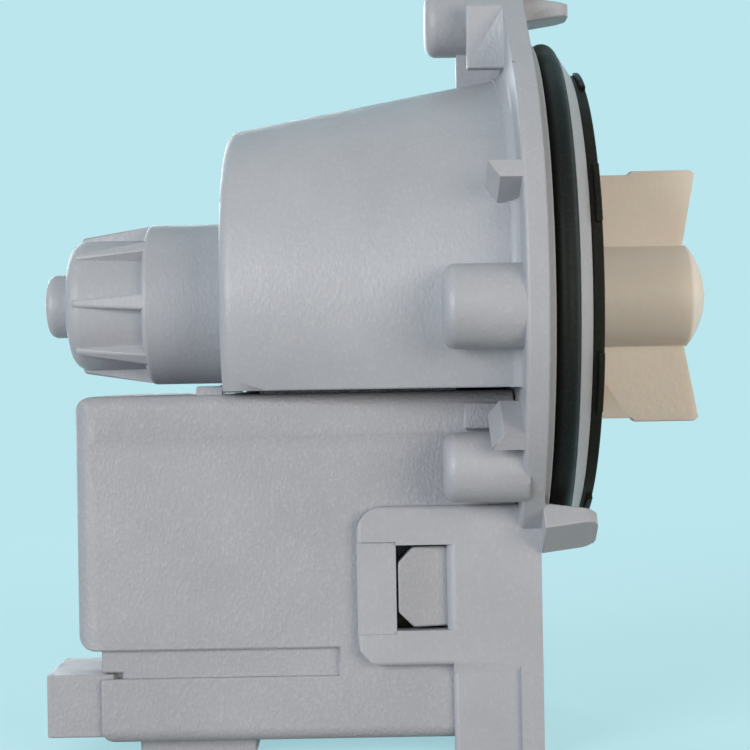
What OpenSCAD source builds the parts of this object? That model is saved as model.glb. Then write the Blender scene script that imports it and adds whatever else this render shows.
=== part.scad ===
// Washer drain pump: a synchronous motor with a sealed rotor can and a two-paddle impeller.
// The origin is the rotor axis at the front face of the mounting flange.
// X runs along the rotor axis towards the impeller, Z is up, Y goes across. Millimetres.

/* [Mounting flange] */
// Outer radius of the flange
flange_r = 41.6; // [41.2:0.1:43]
// Thickness of the flange
flange_t = 3.2; // [2.6:0.1:4]
// Height of the ear centre over the axis
ear_z = 43.6; // [42.6:0.1:45]
// Radius of the ear's rounded end
ear_r = 7; // [6:0.1:8]
// Length of the three hook tabs in front of the flange
tab_len = 7.7; // [5:0.1:9]
// Width of the hook tabs
tab_w = 7.2; // [5:0.1:8]
// Height of the top hook tab over the ear centre
tab_rise = 1.5; // [0.8:0.1:2.4]
// Gap between the land and the lower hook tabs
tab_clear = 0.9; // [0.7:0.1:1.8]
// Angle of the lower hook tabs from the top
tab_clock = 143; // [140:1:146]

/* [Seal] */
// Radius of the spigot behind its nose cone
spigot_r = 38.3; // [37.8:0.1:39]
// Radius of the land that centres the pump behind the O-ring
land_r = 39.7; // [39.7:0.1:40.4]
// Length of the spigot in front of the flange
spigot_len = 6.6; // [6.2:0.1:8]
// Section radius of the O-ring
ring_r = 1.75; // [1.5:0.05:1.9]
// Outer radius of the O-ring
ring_outer_r = 39.6; // [39.2:0.1:39.6]
// Radius of the front seal plate
plate_r = 34.7; // [33:0.1:35]
// Thickness of the front seal plate
plate_t = 1.7; // [1.4:0.1:2.4]

/* [Motor cover] */
// Radius of the cover at its rear edge
cover_rear_r = 26.7; // [26.2:0.1:28]
// Radius of the cover at the flange
cover_front_r = 34.4; // [33:0.1:35]
// Length of the cover behind the flange
cover_len = 42.8; // [42:0.1:46]
// Wall of the cover
cover_wall = 1.8; // [1.4:0.1:2]
// Radius on the rear edge of the cover
cover_round = 2.4; // [1:0.1:3]
// Height at which the cover stops over the coil housing
cover_floor_z = -13.7; // [-14:0.1:-13]

/* [Rear nose] */
// Radius of the plain part of the nose
nose_r = 12.6; // [12.2:0.1:13]
// Length of the nose behind the cover
nose_len = 25.2; // [23:0.1:27]
// Length of the ribbed part of the nose
rib_len = 12.2; // [9:0.1:13]
// Radius of the nose between its ribs
rib_base_r = 10.2; // [10:0.1:11]
// Number of ribs
rib_count = 8; // [6:1:12]
// Width of a rib at the collar
rib_w = 2.4; // [1.4:0.1:3]
// Width of a rib at its thin end
rib_tip_w = 0.9; // [0.6:0.1:1.4]
// Radius of the end stub
stub_r = 5; // [4.6:0.1:6]
// Length of the end stub
stub_len = 3.8; // [3:0.1:6]

/* [Coil housing] */
// Width of the coil housing
coil_w = 43; // [42.6:0.1:45]
// Distance from the flange to the rear wall
coil_len = 64.8; // [62:0.1:68]
// Height of the whole housing
coil_h = 50.8; // [50:0.1:53]
// Height of the lower block with the terminals
shelf_h = 13.6; // [13:0.1:15]
// Wall of the housing
coil_wall = 2; // [1.6:0.1:2.2]
// Height of the foot pads under the housing
pad_h = 2.4; // [1:0.1:4]

/* [Clip arms] */
// Length of the clip arms from the front face
arm_len = 26.8; // [25:0.1:28]
// Height of the clip arms
arm_h = 23.1; // [22:0.1:25]
// Thickness of the clip arms
arm_t = 1.8; // [1.4:0.1:2.4]
// Length of the window in each arm
window_len = 7.4; // [6:0.1:8]
// Height of the window in each arm
window_h = 12.4; // [11:0.1:14]
// Width of the front columns seen from the side
column_w = 12.95; // [10:0.1:16]

/* [Rotor] */
// Diameter of the shaft
shaft_d = 5; // [4:0.1:5.4]
// Diameter of the ring magnet
magnet_d = 25; // [23:0.1:25.4]
// Room between the ring magnet and the flange
magnet_room = 8; // [7.6:0.1:12]
// Gap between magnet and can
rotor_gap = 0.7; // [0.5:0.05:0.9]
// Wall of the rotor can
can_wall = 1.1; // [0.9:0.05:1.2]
// Diameter of the bearing bushes
bush_d = 11; // [9:0.1:11.4]
// Length of the bearing bushes
bush_len = 10; // [8:0.1:11]
// Wall of the rubber bush mounts
mount_wall = 3; // [2:0.1:3.2]
// Radial clearance of shaft and bushes
running_gap = 0.04; // [0.02:0.01:0.08]

/* [Impeller] */
// Radius of the paddles
impeller_r = 19.8; // [16:0.1:24]
// Thickness of the paddles
paddle_t = 2.8; // [2:0.1:4]
// Radius of the hub
hub_r = 8; // [7.8:0.1:10]
// Length of the hub up to its dome
hub_len = 16.8; // [15.5:0.1:18]
// Height of the dome on the hub
dome_h = 2.9; // [1.5:0.1:4]
// Angle that the drive dog fills
dog_angle = 50; // [30:1:60]
// Angle that the stop in the hub fills
stop_angle = 50; // [30:1:60]

/* [Stator and coil] */
// How far the lamination stack stays short of the magnet at each end
stack_inset = 0.5; // [0.3:0.1:3]
// Width of each core leg
leg_w = 8; // [7:0.1:8.2]
// Outer radius of the pole pieces
pole_outer_r = 22.6; // [21:0.1:23]
// Height of the core yoke
yoke_h = 10; // [8:0.1:12]
// Depth of the winding on the bobbin
winding_build = 5.6; // [4:0.1:5.8]

/* [Hidden] */
$fn = 96;
seat_gap = 0.05;
part_gap = 0.2;
over = 1;
far = 400;

flange_back = -flange_t;

groove_x0 = 1.05;
groove_w = 2 * ring_r;
ring_x = groove_x0 + ring_r;
groove_r = ring_outer_r - 2 * ring_r - seat_gap;
tab_root = 4.2;
tab_tip = 1.8;
tab_r = ear_z + tab_rise;
low_tab_r = land_r + tab_clear + tab_root / 2;
spigot_in_r = 29;
nose_cone_r = plate_r + 0.6;
plate_x1 = spigot_len + plate_t;
lug_count = 8;
lug_angle = 15;
lug_rise = 0.6;
lug_undercut = 0.8;

cover_rear = flange_back - cover_len;
cover_in = cover_rear + cover_wall;
cover_slope = (cover_front_r - cover_rear_r) / cover_len;
cover_root_round = 1.6;
cover_cos = 1 / sqrt(1 + cover_slope * cover_slope);

nose_end = cover_rear - nose_len;
stub_end = nose_end - stub_len;
collar_x = nose_end + rib_len;
nose_round = 2.6;
rib_tip_h = 0.5;
rib_bite = 1;
rib_sink = 1.4;
rib_fade = 0.12;
collar_round = 0.9;
stub_round = 1.4;

shaft_r = shaft_d / 2;
bush_bore_r = shaft_r + running_gap;
bush_r = bush_d / 2;
mount_r = bush_r + mount_wall;
can_in_r = magnet_d / 2 + rotor_gap;
can_out_r = can_in_r + can_wall;
can_shoulder = cover_in + part_gap;
can_back = can_shoulder + 1.5;
can_flange_r = spigot_in_r - part_gap;
can_flange_t = 1.8;
nose_floor = 3.6;
rear_bush_x = nose_end + nose_floor;
shaft_tip_room = 2;
shaft_side_room = 0.7;
shaft_tail = 4;
shaft_rear = rear_bush_x - shaft_tail;

carrier_rim = 0.8;
rim_inset = 0.6;
end_gap = 0.5;
magnet_x0 = can_back + end_gap + carrier_rim;
magnet_x1 = flange_back - magnet_room;
magnet_bore_r = 7;
washer_t = 0.8;
washer_inset = 0.6;
washer_r = bush_r - washer_inset;
washer_gap = 0.1;
carrier_hub_r = 4.6;
front_bush_end = 4.6;
front_bush_x = front_bush_end - bush_len;
plug_r = can_in_r - part_gap;
plug_back = front_bush_x - 0.4;
seal_seat_r = 6;
seal_seat_x = front_bush_x + bush_len + 0.6;
shoulder_r = 4;

hub_x0 = plate_x1 + 0.6;
hub_x1 = hub_x0 + hub_len;
cavity_r = 6.3;
cavity_len = 11.6;
cavity_x1 = hub_x0 + cavity_len;
cap_t = 1.2;
dome_lap = 0.5;
cavity_lap = 0.5;
dog_gap = 0.3;
dog_hub_r = 3.9;
dog_r = 6.05;
dog_x0 = hub_x0 + cap_t + dog_gap;
dog_x1 = cavity_x1 - dog_gap;
damper_angle = 12;
damper_inset = 0.15;
shaft_front = hub_x1 - 0.6;
paddle_back_len = 7.7;
paddle_step_x = hub_x0 + paddle_back_len;
paddle_step = 0.6;
paddle_sink = 0.6;
paddle_rake = 1.7;
paddle_round = 1.2;

coil_top_z = cover_floor_z - 0.5;
coil_bottom_z = coil_top_z - coil_h;
coil_mid_z = coil_bottom_z + shelf_h;
pad_z = coil_bottom_z - pad_h;
coil_rear = flange_back - coil_len;
coil_front = flange_back - part_gap;
coil_step = 3.6;
lower_rear = coil_rear + coil_step;
coil_half = coil_w / 2;
groove_len = 34.8;
groove_h = 4.1;
groove_depth = 1;
arm_in = coil_half + part_gap;
arm_out = arm_in + arm_t;
arm_drop = 16.6;
arm_top_z = coil_top_z - arm_drop;
arm_bottom_z = arm_top_z - arm_h;
arm_round = 4;
strip_relief = 0.5;
strip_half = window_h / 2 + strip_relief;
window_in = 13.7;
window_x1 = -window_in;
window_round = 1.5;
window_x0 = window_x1 - window_len;
window_drop = 11.8;
window_mid_z = arm_top_z - window_drop;
column_step = 0.8;
column_out = arm_out - column_step;
column_slope = 1.3;
latch_slit = 0.5;
latch_neck = 4.2;
latch_root_x = window_x1 + latch_neck;
latch_chamfer = 2.2;
latch_bite = 0.3;
latch_gap = 0.3;
latch_play = 0.4;
latch_half = window_h / 2 - latch_play;
latch_rise = arm_t + part_gap - 0.3;

stack_x0 = magnet_x0 + stack_inset;
stack_x1 = magnet_x1 - stack_inset;
pole_r = can_out_r + 0.3;
pole_step = 0.6;
hollow_d = 0.6;
leg_out = coil_half - coil_wall - hollow_d - part_gap;
leg_in = leg_out - leg_w;
pole_top_z = 13;
pole_foot_z = coil_top_z + part_gap;
pole_tip_y = 5;
yoke_drop = 24;
yoke_z = coil_top_z - yoke_drop;
leg_bottom_z = yoke_z - yoke_h / 2;
core_gap = 0.15;
bobbin_wall = 1;
bobbin_flange_t = 1.2;
bobbin_half = leg_in - core_gap;
bobbin_in_h = yoke_h / 2 + core_gap;
bobbin_in_x0 = stack_x0 - core_gap;
bobbin_in_x1 = stack_x1 + core_gap;
wind_x0 = bobbin_in_x0 - bobbin_wall - winding_build;
wind_x1 = bobbin_in_x1 + bobbin_wall + winding_build;
wind_h = bobbin_in_h + bobbin_wall + winding_build;
wind_half = bobbin_half - bobbin_flange_t;
wrap_t = 0.4;
wrap_bed = 0.6;
rivet_r = 1.6;
rivet_head_r = 2.6;
rivet_head_t = 0.8;
rivet_room = rivet_head_t + part_gap;
rivet_y = (leg_in + leg_out) / 2;
rivet_low_z = leg_bottom_z + 4;
rivet_high_z = coil_top_z - 3;

shroud_y0 = -coil_half + 1;
shroud_w = 15.3;
shroud_drop = 3.5;
shroud_lift = 0.9;
shroud_h = shelf_h - shroud_drop - shroud_lift;
shroud_z1 = coil_mid_z - shroud_drop;
shroud_out = 8.1;
shroud_wall = 1.2;
shroud_rear = lower_rear - shroud_out;
shroud_floor_x = lower_rear - 0.4;
shroud_front = lower_rear + coil_wall + 2;
shroud_foot_y = -coil_half + coil_wall + part_gap;
shroud_foot_z = coil_bottom_z + coil_wall + part_gap;
shroud_mid_y = shroud_y0 + shroud_w / 2;
shroud_mid_z = shroud_z1 - shroud_h / 2;
blade_t = 0.8;
blade_side_gap = 0.25;
blade_h = shroud_h - 2 * (shroud_wall + blade_side_gap);
blade_pitch = 6;
blade_recess = 1;
blade_tail = 4;

// Draws a profile of radius and station, turned about the rotor axis.
module revolve_x() {
    rotate([0, 90, 0]) rotate_extrude() children();
}

// Pushes a Y-Z outline along X.
module along_x(x0, x1) {
    translate([x0, 0, 0]) rotate([90, 0, 90]) linear_extrude(x1 - x0) children();
}

// Pushes an X-Z outline along Y.
module along_y(y0, y1) {
    translate([0, y1, 0]) rotate([90, 0, 0]) linear_extrude(y1 - y0) children();
}

// A box between two opposite corners.
module block(low, high) {
    translate(low) cube(high - low);
}

// A cylinder along X.
module rod(r, x0, x1) {
    translate([x0, 0, 0]) rotate([0, 90, 0]) cylinder(r = r, h = x1 - x0);
}

// A tube along X.
module tube(r_out, r_in, x0, x1) {
    difference() {
        rod(r_out, x0, x1);
        rod(r_in, x0 - over, x1 + over);
    }
}

// What a round of radius r takes off an outline's corner that points to (dx, dy).
module corner_trim(corner, r, dx, dy) {
    translate(corner) difference() {
        translate([dx > 0 ? -r : -over, dy > 0 ? -r : -over]) square(r + over);
        translate([-dx * r, -dy * r]) circle(r);
    }
}

// Turns what stands at the top of the flange to an angle from the top, towards -Y.
module at_clock(angle) {
    rotate([angle, 0, 0]) children();
}

// Draws a feature and its twin across the middle plane.
module both_sides() {
    children();
    mirror([0, 1, 0]) children();
}

// A wedge of a cylinder, centred on the top.
module sector(angle, r, x0, x1) {
    along_x(x0, x1) polygon([[0, 0], [-r * tan(angle / 2) * 2, 2 * r], [r * tan(angle / 2) * 2, 2 * r]]);
}

// A post behind the flange with a rounded end.
boss_round = 1.8;
module post(r, x0) {
    rotate([0, 90, 0]) rotate_extrude() difference() {
        translate([0, x0]) square([r, flange_back + over - x0]);
        corner_trim([r, x0], boss_round, 1, -1);
    }
}

// The round flange with a soft rear edge.
rim_round = 0.7;
module flange_disc() {
    revolve_x() difference() {
        translate([0, flange_back]) square([flange_r, flange_t]);
        corner_trim([flange_r, flange_back], rim_round, 1, -1);
    }
}

// Outline of the ear, tangent to the flange.
ear_tilt = acos((flange_r - ear_r) / ear_z);
module ear_outline() {
    translate([0, ear_z]) circle(ear_r);
    polygon([
        [-flange_r * sin(ear_tilt), flange_r * cos(ear_tilt)],
        [-ear_r * sin(ear_tilt), ear_z + ear_r * cos(ear_tilt)],
        [ear_r * sin(ear_tilt), ear_z + ear_r * cos(ear_tilt)],
        [flange_r * sin(ear_tilt), flange_r * cos(ear_tilt)]]);
}

// One hook tab at the top of the flange, thinner towards its tip.
tab_round = 2;
module hook_tab(r) {
    intersection() {
        along_y(-tab_w / 2, tab_w / 2) polygon([
            [-over, r - tab_root / 2], [0, r - tab_root / 2], [tab_len, r - tab_tip / 2],
            [tab_len, r + tab_tip / 2], [0, r + tab_root / 2], [-over, r + tab_root / 2]]);
        linear_extrude(far) difference() {
            translate([-over, -tab_w / 2]) square([tab_len + over, tab_w]);
            corner_trim([tab_len, -tab_w / 2], tab_round, 1, -1);
            corner_trim([tab_len, tab_w / 2], tab_round, 1, 1);
        }
    }
}

// A locking ramp at the top of the flange's back, longer on one side.
ramp_w = 2.6;
ramp_long = 4.6;
ramp_short = 3;
ramp_in_r = 32.4;
ramp_inset = 0.3;
module locking_ramp() {
    translate([0, 0, ramp_in_r]) linear_extrude(flange_r - ramp_inset - ramp_in_r) polygon([
        [flange_back + over, -ramp_w / 2], [flange_back + over, ramp_w / 2],
        [flange_back - ramp_long, ramp_w / 2], [flange_back - ramp_short, -ramp_w / 2]]);
}

// Radius of the cover's outside at a station.
function cover_r(x) = cover_rear_r + cover_slope * (x - cover_rear);

// Profile of the cover's outside with its rounded rear edge.
module cover_outside() {
    centre_x = cover_rear + cover_round;
    centre_r = cover_r(centre_x) - cover_round / cover_cos;
    touch = [centre_r + cover_round * cover_cos, centre_x - cover_round * cover_cos * cover_slope];
    difference() {
        polygon([[0, cover_rear], [cover_rear_r, cover_rear], [cover_front_r, flange_back],
            [cover_front_r, flange_back + over], [0, flange_back + over]]);
        difference() {
            polygon([[centre_r, centre_x], [centre_r, cover_rear - over],
                [cover_rear_r + over, cover_rear - over], touch]);
            translate([centre_r, centre_x]) circle(cover_round);
        }
    }
    difference() {
        translate([cover_front_r - over, flange_back - cover_root_round])
            square([cover_root_round + over, cover_root_round + over]);
        translate([cover_front_r + cover_root_round, flange_back - cover_root_round])
            circle(cover_root_round);
    }
}

// The space for the pole pieces under the cover.
module cover_inside() {
    front_r = cover_front_r - cover_wall / cover_cos;
    rear_r = front_r - cover_slope * (cover_len - cover_wall);
    revolve_x() polygon([[0, cover_in], [rear_r, cover_in], [front_r, flange_back], [0, flange_back]]);
}

// Clip arm on one side, seen along Y.
module arm_outline() {
    difference() {
        translate([-arm_len, arm_bottom_z]) square([arm_len, arm_h]);
        corner_trim([-arm_len, arm_bottom_z], arm_round, -1, -1);
        corner_trim([-arm_len, arm_top_z], arm_round, -1, 1);
    }
}

module window_outline() {
    translate([window_x0, window_mid_z - window_h / 2]) square([window_len, window_h]);
}

// The same arm seen along X and from above, with soft outer edges.
arm_edge = 0.8;
module arm_section() {
    difference() {
        translate([-arm_out, arm_bottom_z]) square([arm_t, arm_h]);
        corner_trim([-arm_out, arm_bottom_z], arm_edge, -1, -1);
        corner_trim([-arm_out, arm_top_z], arm_edge, -1, 1);
    }
}

module arm_plan() {
    difference() {
        translate([-arm_len, -arm_out]) square([arm_len, arm_t]);
        corner_trim([-arm_len, -arm_out], arm_edge, -1, -1);
    }
}

module column_plan() {
    difference() {
        translate([-column_w, -column_out]) square([column_w, column_out - arm_in]);
        corner_trim([-column_w, -column_out], arm_edge, -1, -1);
    }
}

module clip_arm() {
    difference() {
        intersection() {
            along_y(-arm_out, -arm_in) arm_outline();
            along_x(-arm_len, 0) arm_section();
            translate([0, 0, arm_bottom_z]) linear_extrude(arm_h) arm_plan();
        }
        along_y(-arm_out - over, -arm_in + over) window_outline();
        block([-arm_len - over, -arm_out - over, window_mid_z - strip_half],
            [window_x0, -arm_out + strip_relief, window_mid_z + strip_half]);
        translate([0, 0, window_mid_z - window_h / 2]) linear_extrude(window_h)
            corner_trim([window_x1, -arm_out], window_round, -1, -1);
    }
    translate([0, 0, pad_z]) linear_extrude(arm_bottom_z + over - pad_z) column_plan();
    along_x(-column_w, 0) polygon([[-arm_in, arm_bottom_z + over], [-arm_out, arm_bottom_z + over],
        [-arm_out, arm_bottom_z], [-column_out, arm_bottom_z - column_slope],
        [-arm_in, arm_bottom_z - column_slope]]);
}

post_r = 5.9;
post_clock = 94;
post_out = 41.4;
post_x = -14.2;
low_post_r = 5;
low_post_y = -27.5;
low_post_z = -25.1;
low_post_x = -14.1;
top_post_x = -14.9;
top_post_r = 5.1;
ear_web_t = 2.4;
ear_web_x = -10;
ear_wall_y = 8.6;
ear_wall_t = 2;
ear_wall_x = -8.8;
ear_wall_z = 34.8;
ramp_spread = 27;
module pump_body() {
    color([0.66, 0.70, 0.73]) {
        difference() {
            union() {
                flange_disc();
                along_x(flange_back, 0) ear_outline();
                difference() {
                    revolve_x() cover_outside();
                    block([-far, -far, -far], [flange_back, far, cover_floor_z]);
                }
                both_sides() {
                    at_clock(post_clock) translate([0, 0, post_out - post_r]) post(post_r, post_x);
                    translate([0, low_post_y, low_post_z]) post(low_post_r, low_post_x);
                    at_clock(post_clock - ramp_spread) locking_ramp();
                    at_clock(post_clock + ramp_spread) mirror([0, 1, 0]) locking_ramp();
                    clip_arm();
                    intersection() {
                        block([ear_wall_x, -ear_wall_y - ear_wall_t, ear_wall_z],
                            [flange_back + over, -ear_wall_y, ear_z + ear_r]);
                        along_x(ear_wall_x - over, over) ear_outline();
                    }
                }
                translate([0, 0, ear_z]) post(top_post_r, top_post_x);
                block([ear_web_x, -ear_web_t / 2, cover_front_r - cover_wall],
                    [flange_back + over, ear_web_t / 2, ear_z]);
                block([flange_back, -arm_out, pad_z], [0, arm_out, arm_top_z]);
                hook_tab(tab_r);
                difference() {
                    both_sides() at_clock(tab_clock) hook_tab(low_tab_r);
                    tube(far, flange_r, -2 * over, 0);
                }
                revolve_x() polygon([[0, -over], [land_r, -over], [land_r, groove_x0],
                    [groove_r, groove_x0], [groove_r, groove_x0 + groove_w],
                    [spigot_r, groove_x0 + groove_w], [nose_cone_r, spigot_len], [0, spigot_len]]);
            }
            cover_inside();
            rod(can_out_r + part_gap, flange_back - over, over);
            rod(nose_r + part_gap, cover_rear - over, cover_in + over);
            rod(spigot_in_r, 0, spigot_len + over);
        }
    }
}

// A rib at the top of the nose, wider and taller towards the collar.
module nose_rib() {
    rib_end = collar_x + collar_round;
    intersection() {
        along_y(-rib_w, rib_w) polygon([
            [nose_end + rib_bite, rib_base_r - rib_sink],
            [nose_end + nose_round - rib_bite, rib_base_r + rib_tip_h],
            [rib_end, nose_r - rib_fade], [rib_end, rib_base_r - rib_sink]]);
        linear_extrude(far) polygon([[nose_end, -rib_tip_w / 2], [rib_end, -rib_w / 2],
            [rib_end, rib_w / 2], [nose_end, rib_tip_w / 2]]);
    }
}

// The can that keeps water round the rotor, with the rear bearing's nose.
module rotor_can() {
    color([0.62, 0.66, 0.69]) difference() {
        union() {
            revolve_x() difference() {
                union() {
                    translate([0, nose_end]) square([rib_base_r, rib_len + over]);
                    translate([0, collar_x]) square([nose_r, can_shoulder + over - collar_x]);
                    translate([0, stub_end]) square([stub_r, stub_len + over]);
                    translate([0, can_shoulder]) square([can_out_r, -can_shoulder]);
                    square([can_flange_r, can_flange_t]);
                }
                corner_trim([rib_base_r, nose_end], nose_round, 1, -1);
                corner_trim([nose_r, collar_x], collar_round, 1, -1);
                corner_trim([stub_r, stub_end], stub_round, 1, -1);
            }
            for (i = [0 : rib_count - 1])
                at_clock(i * 360 / rib_count) nose_rib();
        }
        rod(can_in_r, can_back, can_flange_t + over);
        rod(mount_r + seat_gap, rear_bush_x, can_back + over);
        rod(shaft_r + shaft_side_room, shaft_rear - shaft_tip_room, rear_bush_x + over);
    }
}

// Black plate that closes the can and carries the front bearing.
module seal_plate() {
    color([0.09, 0.09, 0.10]) difference() {
        union() {
            rod(plate_r, spigot_len, plate_x1);
            intersection() {
                tube(plate_r + lug_rise, plate_r - over, spigot_len + lug_undercut, plate_x1);
                union()
                    for (i = [0 : lug_count - 1])
                        at_clock((i + 0.5) * 360 / lug_count) sector(lug_angle, plate_r, 0, plate_x1 + over);
            }
            rod(plug_r, plug_back, spigot_len + over);
            tube(can_flange_r, can_flange_r - 2.4, can_flange_t, spigot_len + over);
        }
        rod(mount_r + seat_gap, plug_back - over, front_bush_x + bush_len);
        rod(shoulder_r, plug_back, plate_x1 + over);
        rod(seal_seat_r + seat_gap, seal_seat_x, plate_x1 + over);
    }
}

module o_ring_seal() {
    color([0.05, 0.05, 0.06]) revolve_x() translate([ring_outer_r - ring_r, ring_x]) circle(ring_r);
}

// Cross outline of the coil housing, with its shallow side hollow under the top band.
band_h = 6.2;
hollow_h = 8.5;
hollow_step = 1.8;
coil_round = 2.2;
inner_round = 0.2;
module coil_section(inset) {
    corner_r = max(inner_round, coil_round - inset);
    half = coil_half - inset;
    top = coil_top_z - inset;
    bottom = coil_bottom_z + inset;
    band_z = coil_top_z - band_h;
    difference() {
        polygon([[-half, bottom], [half, bottom], [half, band_z - hollow_h],
            [half - hollow_d, band_z - hollow_step], [half, band_z], [half, top], [-half, top],
            [-half, band_z], [-half + hollow_d, band_z - hollow_step], [-half, band_z - hollow_h]]);
        for (side = [-1, 1]) {
            corner_trim([side * half, top], corner_r, side, 1);
            corner_trim([side * half, bottom], corner_r, side, -1);
        }
    }
}

// Side outline of the coil housing.
rear_round = 2.8;
module coil_side(inset) {
    rear = coil_rear + inset;
    low_rear = lower_rear + inset;
    top = coil_top_z - inset;
    bottom = coil_bottom_z + inset;
    difference() {
        polygon([[rear, top], [rear, coil_mid_z + inset], [low_rear, coil_mid_z + inset], [low_rear, bottom],
            [coil_front + inset * over, bottom], [coil_front + inset * over, top]]);
        corner_trim([rear, top], max(inner_round, rear_round - inset), -1, 1);
        corner_trim([rear, coil_mid_z + inset], max(inner_round, rear_round - inset), -1, -1);
        corner_trim([low_rear, bottom], max(inner_round, coil_round - inset), -1, -1);
    }
}

plan_round = 3.6;
module coil_plan() {
    difference() {
        translate([coil_rear, -coil_half]) square([coil_front - coil_rear, coil_w]);
        corner_trim([coil_rear, -coil_half], plan_round, -1, -1);
        corner_trim([coil_rear, coil_half], plan_round, -1, 1);
    }
}

module latch_outline(grow) {
    x0 = window_x0 + latch_gap - grow;
    top = window_mid_z + latch_half + grow;
    bottom = window_mid_z - latch_half - grow;
    cut = grow > 0 ? 0 : latch_chamfer;
    polygon([[x0, bottom + cut], [x0, top - cut], [x0 + cut, top], [latch_root_x, top],
        [latch_root_x, bottom], [x0 + cut, bottom]]);
}

lug_x0 = -10.9;
lug_x1 = -5.4;
lug_top = -1.7;
lug_bottom = -5.6;
lug_out = 1.5;
pad_inset = 4;
pad_back = 5.1;
pad_len = 17.2;
pad_x0 = lower_rear + pad_back;
pad_x1 = pad_x0 + pad_len;
key_size = [3.8, 2.4, 1.3];
key_x = cover_rear - part_gap - key_size[0];
module coil_housing() {
    color([0.64, 0.69, 0.73]) {
        difference() {
            union() {
                intersection() {
                    along_x(coil_rear, coil_front) coil_section(0);
                    along_y(-coil_half, coil_half) coil_side(0);
                    translate([0, 0, -far / 2]) linear_extrude(far) coil_plan();
                }
                block([pad_x0, -coil_half + pad_inset, pad_z],
                    [pad_x1, coil_half - pad_inset, coil_bottom_z + coil_wall]);
            }
            intersection() {
                along_x(coil_rear, coil_front + over) coil_section(coil_wall);
                along_y(-coil_half, coil_half) coil_side(coil_wall);
            }
            both_sides() {
                block([coil_rear - over, -coil_half - over, coil_mid_z - groove_h],
                    [lower_rear + groove_len, -coil_half + groove_depth, coil_mid_z]);
                along_y(-coil_half - over, -coil_half + coil_wall + over) latch_outline(latch_slit);
                block([stack_x0 - rivet_room, -leg_out - part_gap, coil_top_z - coil_wall - over],
                    [stack_x1 + rivet_room, -leg_in + part_gap, coil_top_z + over]);
            }
            rod(can_out_r + part_gap, can_shoulder - part_gap, coil_front + over);
            block([lower_rear - over, shroud_y0 - part_gap, shroud_z1 - shroud_h - part_gap],
                [lower_rear + coil_wall + over, shroud_y0 + shroud_w + part_gap, shroud_z1 + part_gap]);
        }
        both_sides() {
            along_y(-coil_half + hollow_d, -coil_half + coil_wall) latch_outline(0);
            intersection() {
                along_y(-arm_out, -coil_half + coil_wall) latch_outline(0);
                translate([0, 0, -far / 2]) linear_extrude(far) polygon([
                    [window_x0, -coil_half - latch_rise], [latch_root_x - 3.8, -coil_half],
                    [latch_root_x, -coil_half], [latch_root_x, -coil_half + coil_wall],
                    [window_x0, -coil_half + coil_wall]]);
            }
            block([latch_root_x - latch_bite, -coil_half, window_mid_z - latch_half],
                [latch_root_x + latch_slit + over, -coil_half + coil_wall, window_mid_z + latch_half]);
            block([lug_x0, -coil_half - lug_out, coil_top_z + lug_bottom],
                [lug_x1, -coil_half + over, coil_top_z + lug_top]);
            translate([key_x, -coil_half + coil_round, coil_top_z - over]) cube(key_size + [0, 0, over]);
        }
    }
}

// Shroud for the two blade terminals.
module terminal_block() {
    color([0.60, 0.65, 0.68]) difference() {
        union() {
            block([shroud_rear, shroud_y0, shroud_z1 - shroud_h],
                [lower_rear + coil_wall - part_gap, shroud_y0 + shroud_w, shroud_z1]);
            block([shroud_floor_x, shroud_foot_y, shroud_foot_z],
                [shroud_front, shroud_y0 + shroud_w, shroud_z1]);
            block([lower_rear + coil_wall + part_gap, shroud_foot_y, shroud_foot_z],
                [shroud_front, shroud_y0 + shroud_w + shroud_wall, shroud_z1 + shroud_wall]);
        }
        block([shroud_rear - over, shroud_y0 + shroud_wall, shroud_z1 - shroud_h + shroud_wall],
            [shroud_floor_x, shroud_y0 + shroud_w - shroud_wall, shroud_z1 - shroud_wall]);
        for (side = [-1, 1])
            translate([0, side * blade_pitch / 2, 0]) blade(seat_gap);
    }
}

// A blade terminal with a folded tail for the coil lead.
module blade(grow) {
    tip = 1;
    along_y(shroud_mid_y - blade_t / 2 - grow, shroud_mid_y + blade_t / 2 + grow) polygon([
        [shroud_rear + blade_recess, shroud_mid_z - blade_h / 2 + tip],
        [shroud_rear + blade_recess, shroud_mid_z + blade_h / 2 - tip],
        [shroud_rear + blade_recess + tip, shroud_mid_z + blade_h / 2 + grow],
        [shroud_front + blade_tail, shroud_mid_z + blade_h / 2 + grow],
        [shroud_front + blade_tail, shroud_mid_z - blade_h / 2 - grow],
        [shroud_rear + blade_recess + tip, shroud_mid_z - blade_h / 2 - grow]]);
}

module line_terminal() {
    color([0.80, 0.72, 0.42]) translate([0, -blade_pitch / 2, 0]) blade(0);
}

module neutral_terminal() {
    color([0.80, 0.72, 0.42]) translate([0, blade_pitch / 2, 0]) blade(0);
}

// One core leg with its pole piece, stepped for self-starting.
module core_leg() {
    color([0.45, 0.46, 0.48]) difference() {
        along_x(stack_x0, stack_x1) difference() {
            union() {
                translate([-leg_out, leg_bottom_z]) square([leg_w, -leg_bottom_z]);
                intersection() {
                    circle(pole_outer_r);
                    translate([-pole_outer_r, pole_foot_z])
                        square([pole_outer_r - pole_tip_y, pole_top_z - pole_foot_z]);
                }
            }
            circle(pole_r);
            intersection() {
                circle(pole_r + pole_step);
                translate([-pole_outer_r, 0]) square([pole_outer_r, pole_outer_r]);
            }
        }
        for (z = [rivet_low_z, rivet_high_z])
            translate([0, -rivet_y, z]) rod(rivet_r + seat_gap, stack_x0 - over, stack_x1 + over);
    }
}

module stator_leg_near() {
    core_leg();
}

module stator_leg_far() {
    mirror([0, 1, 0]) core_leg();
}

module stator_yoke() {
    color([0.45, 0.46, 0.48]) block([stack_x0, -leg_in, yoke_z - yoke_h / 2],
        [stack_x1, leg_in, yoke_z + yoke_h / 2]);
}

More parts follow.
